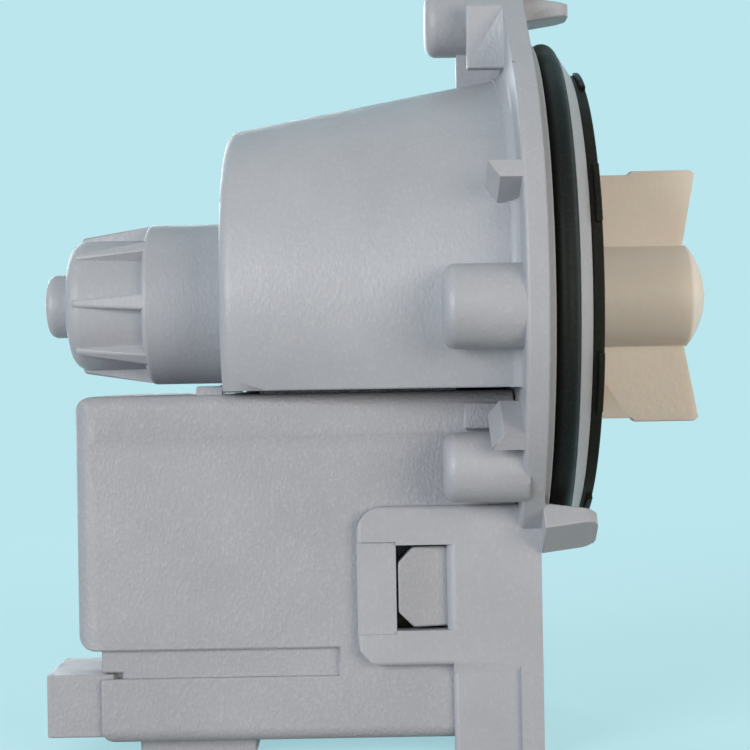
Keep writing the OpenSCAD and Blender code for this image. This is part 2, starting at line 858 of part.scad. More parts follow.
module core_rivets() {
    color([0.70, 0.71, 0.72])
        for (side = [-1, 1], z = [rivet_low_z, rivet_high_z])
            translate([0, side * rivet_y, z]) {
                rod(rivet_r, stack_x0 - rivet_head_t, stack_x1 + rivet_head_t);
                rod(rivet_head_r, stack_x0 - rivet_head_t, stack_x0);
                rod(rivet_head_r, stack_x1, stack_x1 + rivet_head_t);
            }
}

module coil_bobbin() {
    color([0.88, 0.87, 0.80]) difference() {
        union() {
            block([bobbin_in_x0 - bobbin_wall, -bobbin_half, yoke_z - bobbin_in_h - bobbin_wall],
                [bobbin_in_x1 + bobbin_wall, bobbin_half, yoke_z + bobbin_in_h + bobbin_wall]);
            for (y = [-bobbin_half, wind_half])
                block([wind_x0 - wrap_t, y, yoke_z - wind_h - wrap_t],
                    [wind_x1 + wrap_t, y + bobbin_flange_t, yoke_z + wind_h + wrap_t]);
        }
        block([bobbin_in_x0, -bobbin_half - over, yoke_z - bobbin_in_h],
            [bobbin_in_x1, bobbin_half + over, yoke_z + bobbin_in_h]);
    }
}

// A rounded ring round the bobbin's core.
wind_round = 3;
module wind_ring(out, inner, half) {
    x_mid = (bobbin_in_x0 + bobbin_in_x1) / 2;
    half_x = (bobbin_in_x1 - bobbin_in_x0) / 2 + bobbin_wall;
    half_z = bobbin_in_h + bobbin_wall;
    along_y(-half, half) translate([x_mid, yoke_z]) difference() {
        translate([-half_x - out, -half_z - out]) square(2 * [half_x + out, half_z + out]);
        for (sx = [-1, 1], sz = [-1, 1])
            corner_trim([sx * (half_x + out), sz * (half_z + out)], wind_round, sx, sz);
        translate([-half_x - inner, -half_z - inner]) square(2 * [half_x + inner, half_z + inner]);
    }
}

module coil_winding() {
    color([0.72, 0.40, 0.20]) wind_ring(winding_build - wrap_bed, seat_gap, wind_half - seat_gap);
}

module winding_wrap() {
    color([0.85, 0.76, 0.35]) difference() {
        wind_ring(winding_build + wrap_t, winding_build - wind_round, wind_half - seat_gap);
        wind_ring(winding_build - wrap_bed + seat_gap, -over, far);
    }
}

cutout_r = 2.2;
cutout_len = 9;
cutout_rise = 2;
module thermal_cutout() {
    color([0.75, 0.74, 0.70])
        translate([wind_x0 - wrap_t - cutout_r - seat_gap, -cutout_len / 2, yoke_z + cutout_rise])
            rotate([-90, 0, 0]) cylinder(r = cutout_r, h = cutout_len);
}

// Leads from the coil down to the terminal tails.
lead_r = 0.6;
lead_drop = 6;
module coil_leads() {
    color([0.72, 0.40, 0.20])
        for (side = [-1, 1])
            translate([0, shroud_mid_y + side * (blade_pitch / 2 + blade_t / 2 + lead_r), 0]) {
                x = shroud_front + blade_tail - lead_r;
                translate([x, 0, shroud_mid_z]) cylinder(r = lead_r, h = yoke_z - lead_drop - shroud_mid_z);
                translate([0, 0, yoke_z - lead_drop]) rod(lead_r, x, wind_x0 - wrap_t - seat_gap);
                translate([x, 0, yoke_z - lead_drop]) sphere(lead_r);
            }
}

module rear_bush() {
    color([0.20, 0.20, 0.22]) tube(bush_r, bush_bore_r, rear_bush_x, rear_bush_x + bush_len);
}

module rear_bush_mount() {
    color([0.10, 0.10, 0.10]) tube(mount_r, bush_r + seat_gap, rear_bush_x, rear_bush_x + bush_len);
}

module front_bush() {
    color([0.20, 0.20, 0.22]) tube(bush_r, bush_bore_r, front_bush_x, front_bush_x + bush_len);
}

module front_bush_mount() {
    color([0.10, 0.10, 0.10]) tube(mount_r, bush_r + seat_gap, front_bush_x, front_bush_x + bush_len);
}

// Rubber seal in the plate, with a lip towards the shaft.
lip_back = 1;
lip_t = 0.4;
lip_root = 2.4;
seal_rim = 2;
seal_web = 1.4;
module shaft_lip_seal() {
    lip_r = shaft_r + running_gap;
    color([0.07, 0.07, 0.08]) revolve_x() polygon([
        [lip_r, plate_x1 - lip_back], [lip_r, plate_x1 - lip_back + lip_t],
        [seal_seat_r - seal_rim, seal_seat_x + seal_web], [seal_seat_r - seal_rim, plate_x1],
        [seal_seat_r, plate_x1], [seal_seat_r, seal_seat_x], [seal_seat_r - lip_root, seal_seat_x]]);
}

module rotor_shaft() {
    color([0.78, 0.79, 0.80]) rod(shaft_r, shaft_rear, shaft_front);
}

module rotor_magnet() {
    color([0.16, 0.16, 0.17]) tube(magnet_d / 2, magnet_bore_r, magnet_x0, magnet_x1);
}

// Moulded core between magnet and shaft, with a rim at each end.
carrier_x0 = rear_bush_x + bush_len + 2 * washer_gap + washer_t;
carrier_x1 = front_bush_x - 2 * washer_gap - washer_t;
module magnet_carrier() {
    color([0.80, 0.80, 0.76]) difference() {
        union() {
            rod(carrier_hub_r, carrier_x0, carrier_x1);
            rod(magnet_bore_r - seat_gap, magnet_x0 - carrier_rim, magnet_x1 + carrier_rim);
            rod(magnet_d / 2 - rim_inset, magnet_x0 - carrier_rim, magnet_x0);
            rod(magnet_d / 2 - rim_inset, magnet_x1, magnet_x1 + carrier_rim);
        }
        rod(shaft_r, carrier_x0 - over, carrier_x1 + over);
    }
}

module rear_thrust_washer() {
    color([0.85, 0.84, 0.80])
        tube(washer_r, shaft_r + running_gap, carrier_x0 - washer_gap - washer_t, carrier_x0 - washer_gap);
}

module front_thrust_washer() {
    color([0.85, 0.84, 0.80])
        tube(washer_r, shaft_r + running_gap, carrier_x1 + washer_gap, carrier_x1 + washer_gap + washer_t);
}

// Driver pressed on the shaft, turning free in the hub until its key meets the stop.
module drive_dog() {
    color([0.30, 0.31, 0.33]) difference() {
        union() {
            rod(dog_hub_r, dog_x0, dog_x1);
            intersection() {
                rod(dog_r, dog_x0, dog_x1);
                at_clock(180) sector(dog_angle, dog_r, dog_x0, dog_x1);
            }
        }
        rod(shaft_r, dog_x0 - over, dog_x1 + over);
    }
}

// Two broad paddles on a domed hub; the stop for the dog is inside.
module paddle() {
    tip_x = hub_x1 + paddle_rake;
    along_y(-paddle_t / 2, paddle_t / 2) difference() {
        polygon([[hub_x0, 0], [hub_x0, impeller_r - paddle_step], [paddle_step_x, impeller_r - paddle_step],
            [paddle_step_x + paddle_step, impeller_r], [tip_x, impeller_r],
            [hub_x1 - paddle_sink, hub_r - paddle_sink], [hub_x1 - paddle_sink, 0]]);
        corner_trim([tip_x, impeller_r], paddle_round, 1, 1);
        corner_trim([hub_x0, impeller_r - paddle_step], paddle_round, -1, 1);
    }
}

dome_r = (hub_r * hub_r + dome_h * dome_h) / (2 * dome_h);
module impeller() {
    color([0.93, 0.92, 0.88]) {
        difference() {
            union() {
                rod(hub_r, hub_x0, hub_x1);
                revolve_x() intersection() {
                    translate([0, hub_x1 - dome_lap]) square([hub_r, dome_h + over]);
                    translate([0, hub_x1 + dome_h - dome_r]) circle(dome_r);
                }
                paddle();
                at_clock(180) paddle();
            }
            rod(cavity_r, hub_x0 - over, cavity_x1);
            rod(shaft_r + running_gap, cavity_x1 - over, shaft_front + dog_gap);
        }
        intersection() {
            tube(cavity_r + cavity_lap, dog_hub_r + dog_gap, dog_x0, cavity_x1 + cavity_lap);
            sector(stop_angle, cavity_r, dog_x0, cavity_x1 + cavity_lap);
        }
    }
}

module impeller_back_cap() {
    color([0.90, 0.89, 0.85]) tube(cavity_r - 0.02, dog_hub_r + 0.3, hub_x0, hub_x0 + cap_t);
}

// Rubber pads on both faces of the stop.
module impeller_dampers() {
    color([0.12, 0.12, 0.12])
        for (side = [-1, 1])
            intersection() {
                tube(cavity_r - damper_inset, dog_hub_r + dog_gap + damper_inset, dog_x0, dog_x1);
                at_clock(side * (stop_angle + damper_angle) / 2)
                    sector(damper_angle, cavity_r, dog_x0, dog_x1);
            }
}

pump_body();
rotor_can();
seal_plate();
o_ring_seal();
coil_housing();
terminal_block();
line_terminal();
neutral_terminal();
stator_leg_near();
stator_leg_far();
stator_yoke();
core_rivets();
coil_bobbin();
coil_winding();
winding_wrap();
thermal_cutout();
coil_leads();
rear_bush();
rear_bush_mount();
front_bush();
front_bush_mount();
shaft_lip_seal();
rotor_shaft();
rotor_magnet();
magnet_carrier();
rear_thrust_washer();
front_thrust_washer();
drive_dog();
impeller();
impeller_back_cap();
impeller_dampers();
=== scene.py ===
# %% [markdown]
# A washer drain pump
#
# The pump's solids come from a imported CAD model, in metres, with the rotor axis along X and the flange's
# front face at X = 0. Here they get soft edges, real finishes, a studio and the camera of a product shot.

import math

import bmesh
import bpy
from mathutils import Euler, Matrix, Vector


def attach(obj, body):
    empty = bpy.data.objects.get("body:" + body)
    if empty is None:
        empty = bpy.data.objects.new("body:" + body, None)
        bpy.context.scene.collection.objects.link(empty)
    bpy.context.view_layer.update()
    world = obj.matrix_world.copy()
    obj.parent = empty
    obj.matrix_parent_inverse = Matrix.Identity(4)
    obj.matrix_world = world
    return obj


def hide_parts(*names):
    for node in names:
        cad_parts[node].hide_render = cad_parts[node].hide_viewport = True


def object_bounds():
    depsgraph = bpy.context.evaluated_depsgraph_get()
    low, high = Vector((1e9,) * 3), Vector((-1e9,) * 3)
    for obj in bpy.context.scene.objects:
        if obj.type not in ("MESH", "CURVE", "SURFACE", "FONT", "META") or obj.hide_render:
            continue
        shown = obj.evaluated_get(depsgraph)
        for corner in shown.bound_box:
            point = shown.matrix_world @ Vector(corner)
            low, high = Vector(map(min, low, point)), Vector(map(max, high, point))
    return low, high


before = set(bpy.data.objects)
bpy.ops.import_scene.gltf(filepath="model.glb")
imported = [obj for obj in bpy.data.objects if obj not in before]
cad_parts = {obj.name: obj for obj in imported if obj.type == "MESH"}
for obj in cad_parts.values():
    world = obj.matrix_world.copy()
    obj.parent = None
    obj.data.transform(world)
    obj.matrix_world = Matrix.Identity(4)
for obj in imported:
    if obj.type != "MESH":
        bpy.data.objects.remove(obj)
cad_low, cad_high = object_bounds()
MM = 0.001
print("pump box in mm:", [round((high - low) / MM, 1) for low, high in zip(cad_low, cad_high)])

# %% [markdown]
# Soft edges
#
# No moulded edge is a razor: each one has a small radius that catches a line of light. The CAD solids keep
# their large radii, so here each visible piece gets a copy on which bmesh bevels the small ones. Only outer
# edges are marked, because a moulder rounds those first. An edge beside a sliver of a triangle stays as
# it is, because the bevel would push its new corners past the sliver and fold the surface. So does an edge
# that runs alone into a curved wall, where the bevel's end would dent that wall. A voxel remesh would also
# round the edges, but it would blur the ribs and cost many more faces.

# %% Which edges are outer edges with room for a radius
SHARP_TURN = math.radians(32)
FLAT_TURN = math.radians(1.5)


def reach(face, edge):
    """How far a face reaches from an edge: the height of a triangle, or the mean width of another face."""
    width = face.calc_area() / edge.calc_length()
    return 2 * width if len(face.verts) == 3 else width


def has_room(edge, radius, room):
    """True for a sharp outer edge whose two faces reach well past the radius."""
    if len(edge.link_faces) != 2 or edge.calc_face_angle_signed(0) < SHARP_TURN:
        return False
    return all(reach(face, edge) >= room * radius for face in edge.link_faces)


def ends_on_curve(edge, outer):
    """True for an edge that runs alone into a curved wall."""
    for corner in edge.verts:
        others = [e for e in corner.link_edges if e is not edge]
        bends = [FLAT_TURN < e.calc_face_angle(0) < SHARP_TURN for e in others]
        if any(bends) and not any(e in outer for e in others):
            return True
    return False


# %% [markdown]
# Rounding without folds
#
# A few corners still have no room where three edges meet. So the bevel is tried on a copy first. Where that
# copy turns back on itself, the marked edges close by lose their mark, and the trial is made again.

# %% Bevel the marked edges, and find where that folds
MARK = "rounded"
ROUND_SEGMENTS = 2
FOLDED_TURN = math.radians(140)
FOLD_REACH = 3


def round_marked(shape, radius):
    """Bevel the edges that carry the mark, and tell how many they were."""
    mark = shape.edges.layers.float[MARK]
    marked = [edge for edge in shape.edges if edge[mark] > 0]
    bmesh.ops.bevel(
        shape, geom=marked, offset=radius, offset_type="OFFSET", segments=ROUND_SEGMENTS, profile=0.5,
        affect="EDGES", material=-1, clamp_overlap=False,
    )
    return len(marked)


def unmark_folds(shape, radius):
    """Take the mark off the edges whose rounding would fold the surface, and tell how many they were."""
    trial = shape.copy()
    round_marked(trial, radius)
    bmesh.ops.triangulate(trial, faces=trial.faces)
    trial.normal_update()
    folds = [v.co.copy() for e in trial.edges if e.calc_face_angle(0) > FOLDED_TURN for v in e.verts]
    trial.free()
    mark = shape.edges.layers.float[MARK]
    dropped = 0
    for edge in shape.edges:
        near = any((v.co - place).length < FOLD_REACH * radius for v in edge.verts for place in folds)
        if near and edge[mark] > 0:
            edge[mark] = 0
            dropped += 1
    return dropped


# %% [markdown]
# The finished copy
#
# A CAD mesh is loose triangles, so the copy is merged first. The ribs of the nose are so narrow that their
# slivers are also dissolved into whole faces, and then each rib is rounded. Smooth shading alone would
# smear a gradient over the flat faces beside a round edge. The Weighted Normal modifier lets the large
# faces decide at each corner, so flat faces stay flat.

# %% A merged mesh with rounded edges
MERGED_TURN = math.radians(0.2)
WELD = 0.002 * MM


def rounded_mesh(node, radius, room, ribbed):
    """A merged copy of a CAD node's mesh, with its outer edges rounded."""
    shape = bmesh.new()
    shape.from_mesh(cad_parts[node].data)
    mark = shape.edges.layers.float.new(MARK)
    bmesh.ops.remove_doubles(shape, verts=shape.verts, dist=WELD)
    if ribbed:
        bmesh.ops.dissolve_limit(shape, angle_limit=MERGED_TURN, verts=shape.verts, edges=shape.edges)
    outer = {edge for edge in shape.edges if has_room(edge, radius, room)}
    for edge in outer:
        edge[mark] = 1 if ribbed or not ends_on_curve(edge, outer) else 0
    for edge in shape.edges:
        edge.smooth = edge.calc_face_angle(0) < SHARP_TURN
    while unmark_folds(shape, radius):
        pass
    rounded = round_marked(shape, radius)
    bmesh.ops.dissolve_degenerate(shape, dist=WELD, edges=shape.edges)
    for face in shape.faces:
        face.smooth = True
    mesh = bpy.data.meshes.new(node + "_finished")
    shape.to_mesh(mesh)
    shape.free()
    print(node, "outer edges:", len(outer), "rounded:", rounded)
    return mesh


# %% A piece in the place of its CAD node
def soft_edged(node, body, radius_mm, room=2.0, ribbed=False):
    """Replace a CAD node by its rounded copy."""
    piece = bpy.data.objects.new(node + "_finished", rounded_mesh(node, radius_mm * MM, room, ribbed))
    bpy.context.scene.collection.objects.link(piece)
    shading = piece.modifiers.new("flat faces stay flat", "WEIGHTED_NORMAL")
    shading.mode = "FACE_AREA_WITH_ANGLE"
    shading.keep_sharp = True
    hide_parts(node)
    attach(piece, body)
    return piece


# %% [markdown]
# The mouldings that show
#
# Six mouldings make up nearly all that the eye meets. The nose of the rotor can is the softest of them, so
# it has the largest radius, and its narrow ribs get by with less room. The black plate is the crispest.

# %% Six mouldings, with their radii in millimetres
pump_body = soft_edged("pump_body", "housing", 0.22)
rotor_can = soft_edged("rotor_can", "housing", 0.4, room=1.1, ribbed=True)
coil_housing = soft_edged("coil_housing", "housing", 0.3)
terminal_block = soft_edged("terminal_block", "housing", 0.25)
seal_plate = soft_edged("seal_plate", "housing", 0.2)
impeller = soft_edged("impeller", "impeller", 0.25)

# %% [markdown]
# Surface effects as node groups
#
# A moulding is never one even colour and gloss. The plastic cools unevenly, which leaves a slow mottle, and
# the spark-eroded mould prints a fine grain, whose raised points catch the light; that light is painted in
# as pale specks. Both are noises read at Object coordinates, so they stay on the piece when it turns. A
# group keeps them together, and each material sets its own values.

# %% Sockets of a group
def new_group(name, takes, gives):
    """An empty shader group with the named inputs and outputs."""
    group = bpy.data.node_groups.new(name, "ShaderNodeTree")
    for label, kind in takes:
        group.interface.new_socket(label, in_out="INPUT", socket_type="NodeSocket" + kind)
    for label, kind in gives:
        group.interface.new_socket(label, in_out="OUTPUT", socket_type="NodeSocket" + kind)
    return group, group.nodes.new("NodeGroupInput"), group.nodes.new("NodeGroupOutput")


# %% A noise, and the middle of its range
NOISE_LOW, NOISE_HIGH = 0.3, 0.7


def noise(tree, scale, detail, stretch=(1, 1, 1)):
    """A noise at Object coordinates, longer along an axis where stretch is below 1."""
    place = tree.nodes.new("ShaderNodeTexCoord")
    frame_of_noise = tree.nodes.new("ShaderNodeMapping")
    frame_of_noise.inputs["Scale"].default_value = stretch
    field = tree.nodes.new("ShaderNodeTexNoise")
    field.inputs["Scale"].default_value = scale
    field.inputs["Detail"].default_value = detail
    tree.links.new(place.outputs["Object"], frame_of_noise.inputs["Vector"])
    tree.links.new(frame_of_noise.outputs["Vector"], field.inputs["Vector"])
    return field


def spread(tree, field, low=NOISE_LOW, high=NOISE_HIGH, to_low=0.0, to_high=1.0):
    """Stretch the middle of a noise over a wider range."""
    mapped = tree.nodes.new("ShaderNodeMapRange")
    mapped.inputs["From Min"].default_value = low
    mapped.inputs["From Max"].default_value = high
    mapped.inputs["To Min"].default_value = to_low
    mapped.inputs["To Max"].default_value = to_high
    tree.links.new(field.outputs["Fac"], mapped.inputs["Value"])
    return mapped


# %% [markdown]
# The moulded skin
#
# The mottle mixes two close colours. Where the grain stands up, the result is then lightened a little
# towards
# white: a painted highlight, in place of the glints that a raised grain catches. The same grain leaves the
# group as a height for a Bump node, so the painted glints and the relief agree. Try other values for Grain
# Scale: one unit of noise is one metre divided by it.

# %% The moulded skin group
MOTTLE_PER_M = 70
HANDLING_PER_M = 260
GRAIN_STRETCH = (1, 1, 0.7)
PEAK_LOW, PEAK_HIGH = 0.52, 0.75


def moulded_skin_group():
    """Colour with painted highlights on the grain, roughness and grain height of a moulded plastic."""
    skin, inputs, outputs = new_group(
        "moulded skin",
        [("Light", "Color"), ("Dark", "Color"), ("Painted Glints", "Float"), ("Gloss Low", "Float"),
         ("Gloss High", "Float"), ("Grain Scale", "Float")],
        [("Colour", "Color"), ("Roughness", "Float"), ("Height", "Float")],
    )
    mottle = spread(skin, noise(skin, MOTTLE_PER_M, detail=4))
    blend = skin.nodes.new("ShaderNodeMix")
    blend.data_type = "RGBA"
    skin.links.new(mottle.outputs["Result"], blend.inputs["Factor"])
    skin.links.new(inputs.outputs["Light"], blend.inputs["A"])
    skin.links.new(inputs.outputs["Dark"], blend.inputs["B"])
    grain = noise(skin, 1, detail=2, stretch=GRAIN_STRETCH)
    skin.links.new(inputs.outputs["Grain Scale"], grain.inputs["Scale"])
    peaks = spread(skin, grain, PEAK_LOW, PEAK_HIGH)
    share = skin.nodes.new("ShaderNodeMath")
    share.operation = "MULTIPLY"
    skin.links.new(peaks.outputs["Result"], share.inputs[0])
    skin.links.new(inputs.outputs["Painted Glints"], share.inputs[1])
    # Painted highlight: the raised grain is mixed towards white, as the glints it would catch.
    rubbing_and_painted_glints = skin.nodes.new("ShaderNodeMix")
    rubbing_and_painted_glints.data_type = "RGBA"
    rubbing_and_painted_glints.inputs["B"].default_value = (1, 1, 1, 1)
    skin.links.new(share.outputs["Value"], rubbing_and_painted_glints.inputs["Factor"])
    skin.links.new(blend.outputs["Result"], rubbing_and_painted_glints.inputs["A"])
    skin.links.new(rubbing_and_painted_glints.outputs["Result"], outputs.inputs["Colour"])
    handled = spread(skin, noise(skin, HANDLING_PER_M, detail=5))
    skin.links.new(inputs.outputs["Gloss Low"], handled.inputs["To Min"])
    skin.links.new(inputs.outputs["Gloss High"], handled.inputs["To Max"])
    skin.links.new(handled.outputs["Result"], outputs.inputs["Roughness"])
    skin.links.new(grain.outputs["Fac"], outputs.inputs["Height"])
    return skin


MOULDED_SKIN = moulded_skin_group()
print("moulded skin nodes:", len(MOULDED_SKIN.nodes))


# %% A plastic made with that group
def plastic(name, light, dark, painted_glints, gloss, grain_scale, grain_mm):
    """A moulded plastic: two close colours, pale glints painted on the grain, a gloss range and a grain of
    a given depth.
    """
    material = bpy.data.materials.new(name)
    material.use_nodes = True
    nodes, links = material.node_tree.nodes, material.node_tree.links
    surface = nodes["Principled BSDF"]
    skin = nodes.new("ShaderNodeGroup")
    skin.node_tree = MOULDED_SKIN
    skin.inputs["Light"].default_value = (*light, 1)
    skin.inputs["Dark"].default_value = (*dark, 1)
    # How much painted highlight the raised points of the grain get.
    skin.inputs["Painted Glints"].default_value = painted_glints
    skin.inputs["Gloss Low"].default_value = gloss[0]
    skin.inputs["Gloss High"].default_value = gloss[1]
    skin.inputs["Grain Scale"].default_value = grain_scale
    relief = nodes.new("ShaderNodeBump")
    relief.inputs["Distance"].default_value = grain_mm * MM
    links.new(skin.outputs["Colour"], surface.inputs["Base Color"])
    links.new(skin.outputs["Roughness"], surface.inputs["Roughness"])
    links.new(skin.outputs["Height"], relief.inputs["Height"])
    links.new(relief.outputs["Normal"], surface.inputs["Normal"])
    return material


# %% Which piece wears which material
def cad(*names):
    """The CAD objects of these nodes."""
    return [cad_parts[name] for name in names]


def dress(material, *pieces):
    """Give pieces a single material."""
    for piece in pieces:
        piece.data.materials.clear()
        piece.data.materials.append(material)
    print(material.name, "on", [piece.name for piece in pieces])


# %% [markdown]
# Grey plastics
#
# The pump body is a cool pale grey with a satin gloss. The coil box is the same plastic with a coarser
# spark texture, so it looks a little duller and its painted glints are stronger. One material could serve
# both, but two of them give each texture its own scale and depth.

# %% Grey mouldings
body_grey = plastic(
    "satin grey plastic", light=(0.458, 0.474, 0.512), dark=(0.412, 0.427, 0.463),
    painted_glints=0.07, gloss=(0.36, 0.50), grain_scale=1900, grain_mm=0.08,
)
dress(body_grey, pump_body, rotor_can)
coil_grey = plastic(
    "textured grey plastic", light=(0.423, 0.432, 0.468), dark=(0.378, 0.387, 0.421),
    painted_glints=0.10, gloss=(0.46, 0.62), grain_scale=2400, grain_mm=0.14,
)
dress(coil_grey, coil_housing, terminal_block)

# %% [markdown]
# Black plate and rubber
#
# The plate is a black plastic, and the ring round the spigot is rubber. On black, hardly anything shows but
# the gloss, and under large lamps that gloss looks grey. A low Specular IOR Level keeps both of them dark.

# %% Black plate
PLATE_SPECULAR = 0.12
plate_black = plastic(
    "satin black plastic", light=(0.019, 0.016, 0.011), dark=(0.011, 0.009, 0.006),
    painted_glints=0.01, gloss=(0.42, 0.56), grain_scale=1500, grain_mm=0.03,
)
plate_black.node_tree.nodes["Principled BSDF"].inputs["Specular IOR Level"].default_value = PLATE_SPECULAR
dress(plate_black, seal_plate)

# %% Rubber
RUBBER_SPECULAR = 0.15
seal_black = plastic(
    "black rubber", light=(0.010, 0.010, 0.008), dark=(0.006, 0.006, 0.005),
    painted_glints=0.01, gloss=(0.40, 0.54), grain_scale=3000, grain_mm=0.02,
)
seal_black.node_tree.nodes["Principled BSDF"].inputs["Specular IOR Level"].default_value = RUBBER_SPECULAR
bush_mounts = cad("rear_bush_mount", "front_bush_mount")
dress(seal_black, *cad("o_ring_seal", "shaft_lip_seal"), *bush_mounts, *cad("impeller_dampers"))

# %% [markdown]
# Milky impeller
#
# The impeller is a milky plastic, warmer than the rest. A paler colour alone would look like paint, so
# subsurface scattering carries some light through its thin paddles. Its scale is the depth that red light
# reaches, and green and blue reach a share of that.

# %% Milky plastic
MILK_DEPTH = 2.0 * MM
impeller_milk = plastic(
    "milky plastic", light=(0.97, 0.87, 0.775), dark=(0.94, 0.83, 0.735),
    painted_glints=0.03, gloss=(0.34, 0.46), grain_scale=1100, grain_mm=0.04,
)
milk = impeller_milk.node_tree.nodes["Principled BSDF"]
milk.inputs["Subsurface Weight"].default_value = 0.6
milk.inputs["Subsurface Radius"].default_value = (1.0, 0.85, 0.65)
milk.inputs["Subsurface Scale"].default_value = MILK_DEPTH
dress(impeller_milk, impeller, *cad("impeller_back_cap"))

# %% [markdown]
# Inner pieces
#
# The blades show in their socket. Most of the rest is hidden, but it is dressed as well, so that a cut-away
# looks right. A Wave texture draws what repeats along X: the sheets of the core, which are stacked along
# the rotor axis, and a fine ridge on the copper. A Wave of scale 1 repeats every pi / 10 units.

# %% Metals
RUBBING_PER_M = 700
RUBBED = 0.08
WAVE_REPEAT = math.pi / 10


def metal(name, colour, roughness, pitch_mm=0.0, ridge_mm=0.0):
    """A metal with uneven gloss, and with ridges across X where a pitch is given."""
    material = bpy.data.materials.new(name)
    material.use_nodes = True
    tree = material.node_tree
    surface = tree.nodes["Principled BSDF"]
    surface.inputs["Base Color"].default_value = (*colour, 1)
    surface.inputs["Metallic"].default_value = 1
    handled = noise(tree, RUBBING_PER_M, detail=3)
    rubbing_and_painted_glints = spread(tree, handled, to_low=roughness - RUBBED, to_high=roughness + RUBBED)
    tree.links.new(rubbing_and_painted_glints.outputs["Result"], surface.inputs["Roughness"])
    if pitch_mm:
        place = tree.nodes.new("ShaderNodeTexCoord")
        ridges = tree.nodes.new("ShaderNodeTexWave")
        ridges.inputs["Scale"].default_value = WAVE_REPEAT / (pitch_mm * MM)
        relief = tree.nodes.new("ShaderNodeBump")
        relief.inputs["Distance"].default_value = ridge_mm * MM
        tree.links.new(place.outputs["Object"], ridges.inputs["Vector"])
        tree.links.new(ridges.outputs["Fac"], relief.inputs["Height"])
        tree.links.new(relief.outputs["Normal"], surface.inputs["Normal"])
    return material


blade_brass = metal("tinned brass", (0.84, 0.76, 0.66), roughness=0.3)
dress(blade_brass, *cad("line_terminal", "neutral_terminal"))
core_steel = metal("core steel", (0.10, 0.10, 0.11), roughness=0.55, pitch_mm=0.5, ridge_mm=0.06)
dress(core_steel, *cad("stator_leg_near", "stator_leg_far", "stator_yoke"))
shaft_steel = metal("ground steel", (0.62, 0.63, 0.65), roughness=0.22)
dress(shaft_steel, *cad("rotor_shaft", "core_rivets"))
coil_copper = metal("enamelled copper", (0.62, 0.28, 0.11), roughness=0.32, pitch_mm=0.3, ridge_mm=0.1)
dress(coil_copper, *cad("coil_winding", "coil_leads"))

# %% Inner plastics
pale = plastic(
    "pale inner plastic", light=(0.70, 0.68, 0.60), dark=(0.66, 0.64, 0.56),
    painted_glints=0.03, gloss=(0.4, 0.5), grain_scale=1200, grain_mm=0.03,
)
dress(pale, *cad("coil_bobbin", "thermal_cutout", "magnet_carrier"))
dress(pale, *cad("rear_thrust_washer", "front_thrust_washer"))
tape = plastic(
    "coil tape", light=(0.62, 0.50, 0.14), dark=(0.57, 0.45, 0.11),
    painted_glints=0.02, gloss=(0.35, 0.45), grain_scale=900, grain_mm=0.02,
)
dress(tape, *cad("winding_wrap"))
dark_inner = plastic(
    "dark inner plastic", light=(0.05, 0.05, 0.055), dark=(0.04, 0.04, 0.044),
    painted_glints=0.02, gloss=(0.4, 0.55), grain_scale=1200, grain_mm=0.03,
)
dress(dark_inner, *cad("rear_bush", "front_bush", "rotor_magnet", "drive_dog"))

# %% [markdown]
# Studio
#
# A product shot stands on pale paper in front of a pale wall of the same tint, so no horizon shows. Here
# the paper is one wide disc, and the wall is the world's own colour, because the pump is looked at from all
# sides. A pale floor would throw a lot of light up at the pump, so the Light Path node parts two cases: the
# eye, a mirror or a glass sees pale paper, and the light that bounces on comes from a duller one. Near the
# pump the pale paper is half lit and half glowing, so it keeps the shadow. Further out it glows like the
# wall.

# %% What counts as seen
def seen_directly(tree):
    """1 for a ray from the eye, a mirror or a glass, and 0 for light that bounces on."""
    ray = tree.nodes.new("ShaderNodeLightPath")
    total = ray.outputs["Is Camera Ray"]
    for kind in ("Is Glossy Ray", "Is Transmission Ray"):
        either = tree.nodes.new("ShaderNodeMath")
        either.operation = "MAXIMUM"
        tree.links.new(total, either.inputs[0])
        tree.links.new(ray.outputs[kind], either.inputs[1])
        total = either.outputs["Value"]
    return total


# %% Floor
FLOOR_R = 6.0
FLOOR_SIDES = 96
disc = bmesh.new()
bmesh.ops.create_circle(disc, cap_ends=True, segments=FLOOR_SIDES, radius=FLOOR_R)
bmesh.ops.translate(disc, verts=disc.verts, vec=(0, 0, cad_low.z))
floor_mesh = bpy.data.meshes.new("studio_floor")
disc.to_mesh(floor_mesh)
disc.free()
studio_floor = bpy.data.objects.new("studio_floor", floor_mesh)
bpy.context.scene.collection.objects.link(studio_floor)
print("floor at mm:", round(cad_low.z / MM, 1))

# %% Paper that is lit near the pump and glows further out
WALL = (0.50, 0.79, 0.85, 1)
LIT_PAPER = (0.34, 0.46, 0.48, 1)
LIT_PAPER_GLOW = (0.32, 0.54, 0.59, 1)
SHADOW_NEAR, SHADOW_FAR = 0.12, 0.45
paper = bpy.data.materials.new("pale paper")
paper.use_nodes = True
tree = paper.node_tree
lit = tree.nodes["Principled BSDF"]
lit.inputs["Base Color"].default_value = LIT_PAPER
lit.inputs["Roughness"].default_value = 0.9
lit.inputs["Specular IOR Level"].default_value = 0
lit.inputs["Emission Color"].default_value = LIT_PAPER_GLOW
lit.inputs["Emission Strength"].default_value = 1
glow = tree.nodes.new("ShaderNodeEmission")
glow.inputs["Color"].default_value = WALL
place = tree.nodes.new("ShaderNodeTexCoord")
distance = tree.nodes.new("ShaderNodeVectorMath")
distance.operation = "LENGTH"
fade = tree.nodes.new("ShaderNodeMapRange")
fade.interpolation_type = "SMOOTHSTEP"
fade.inputs["From Min"].default_value = SHADOW_NEAR
fade.inputs["From Max"].default_value = SHADOW_FAR
near_or_far = tree.nodes.new("ShaderNodeMixShader")
tree.links.new(place.outputs["Object"], distance.inputs[0])
tree.links.new(distance.outputs["Value"], fade.inputs["Value"])
tree.links.new(fade.outputs["Result"], near_or_far.inputs["Fac"])
tree.links.new(lit.outputs["BSDF"], near_or_far.inputs[1])
tree.links.new(glow.outputs["Emission"], near_or_far.inputs[2])
print("paper fades over m:", round(SHADOW_FAR - SHADOW_NEAR, 2))

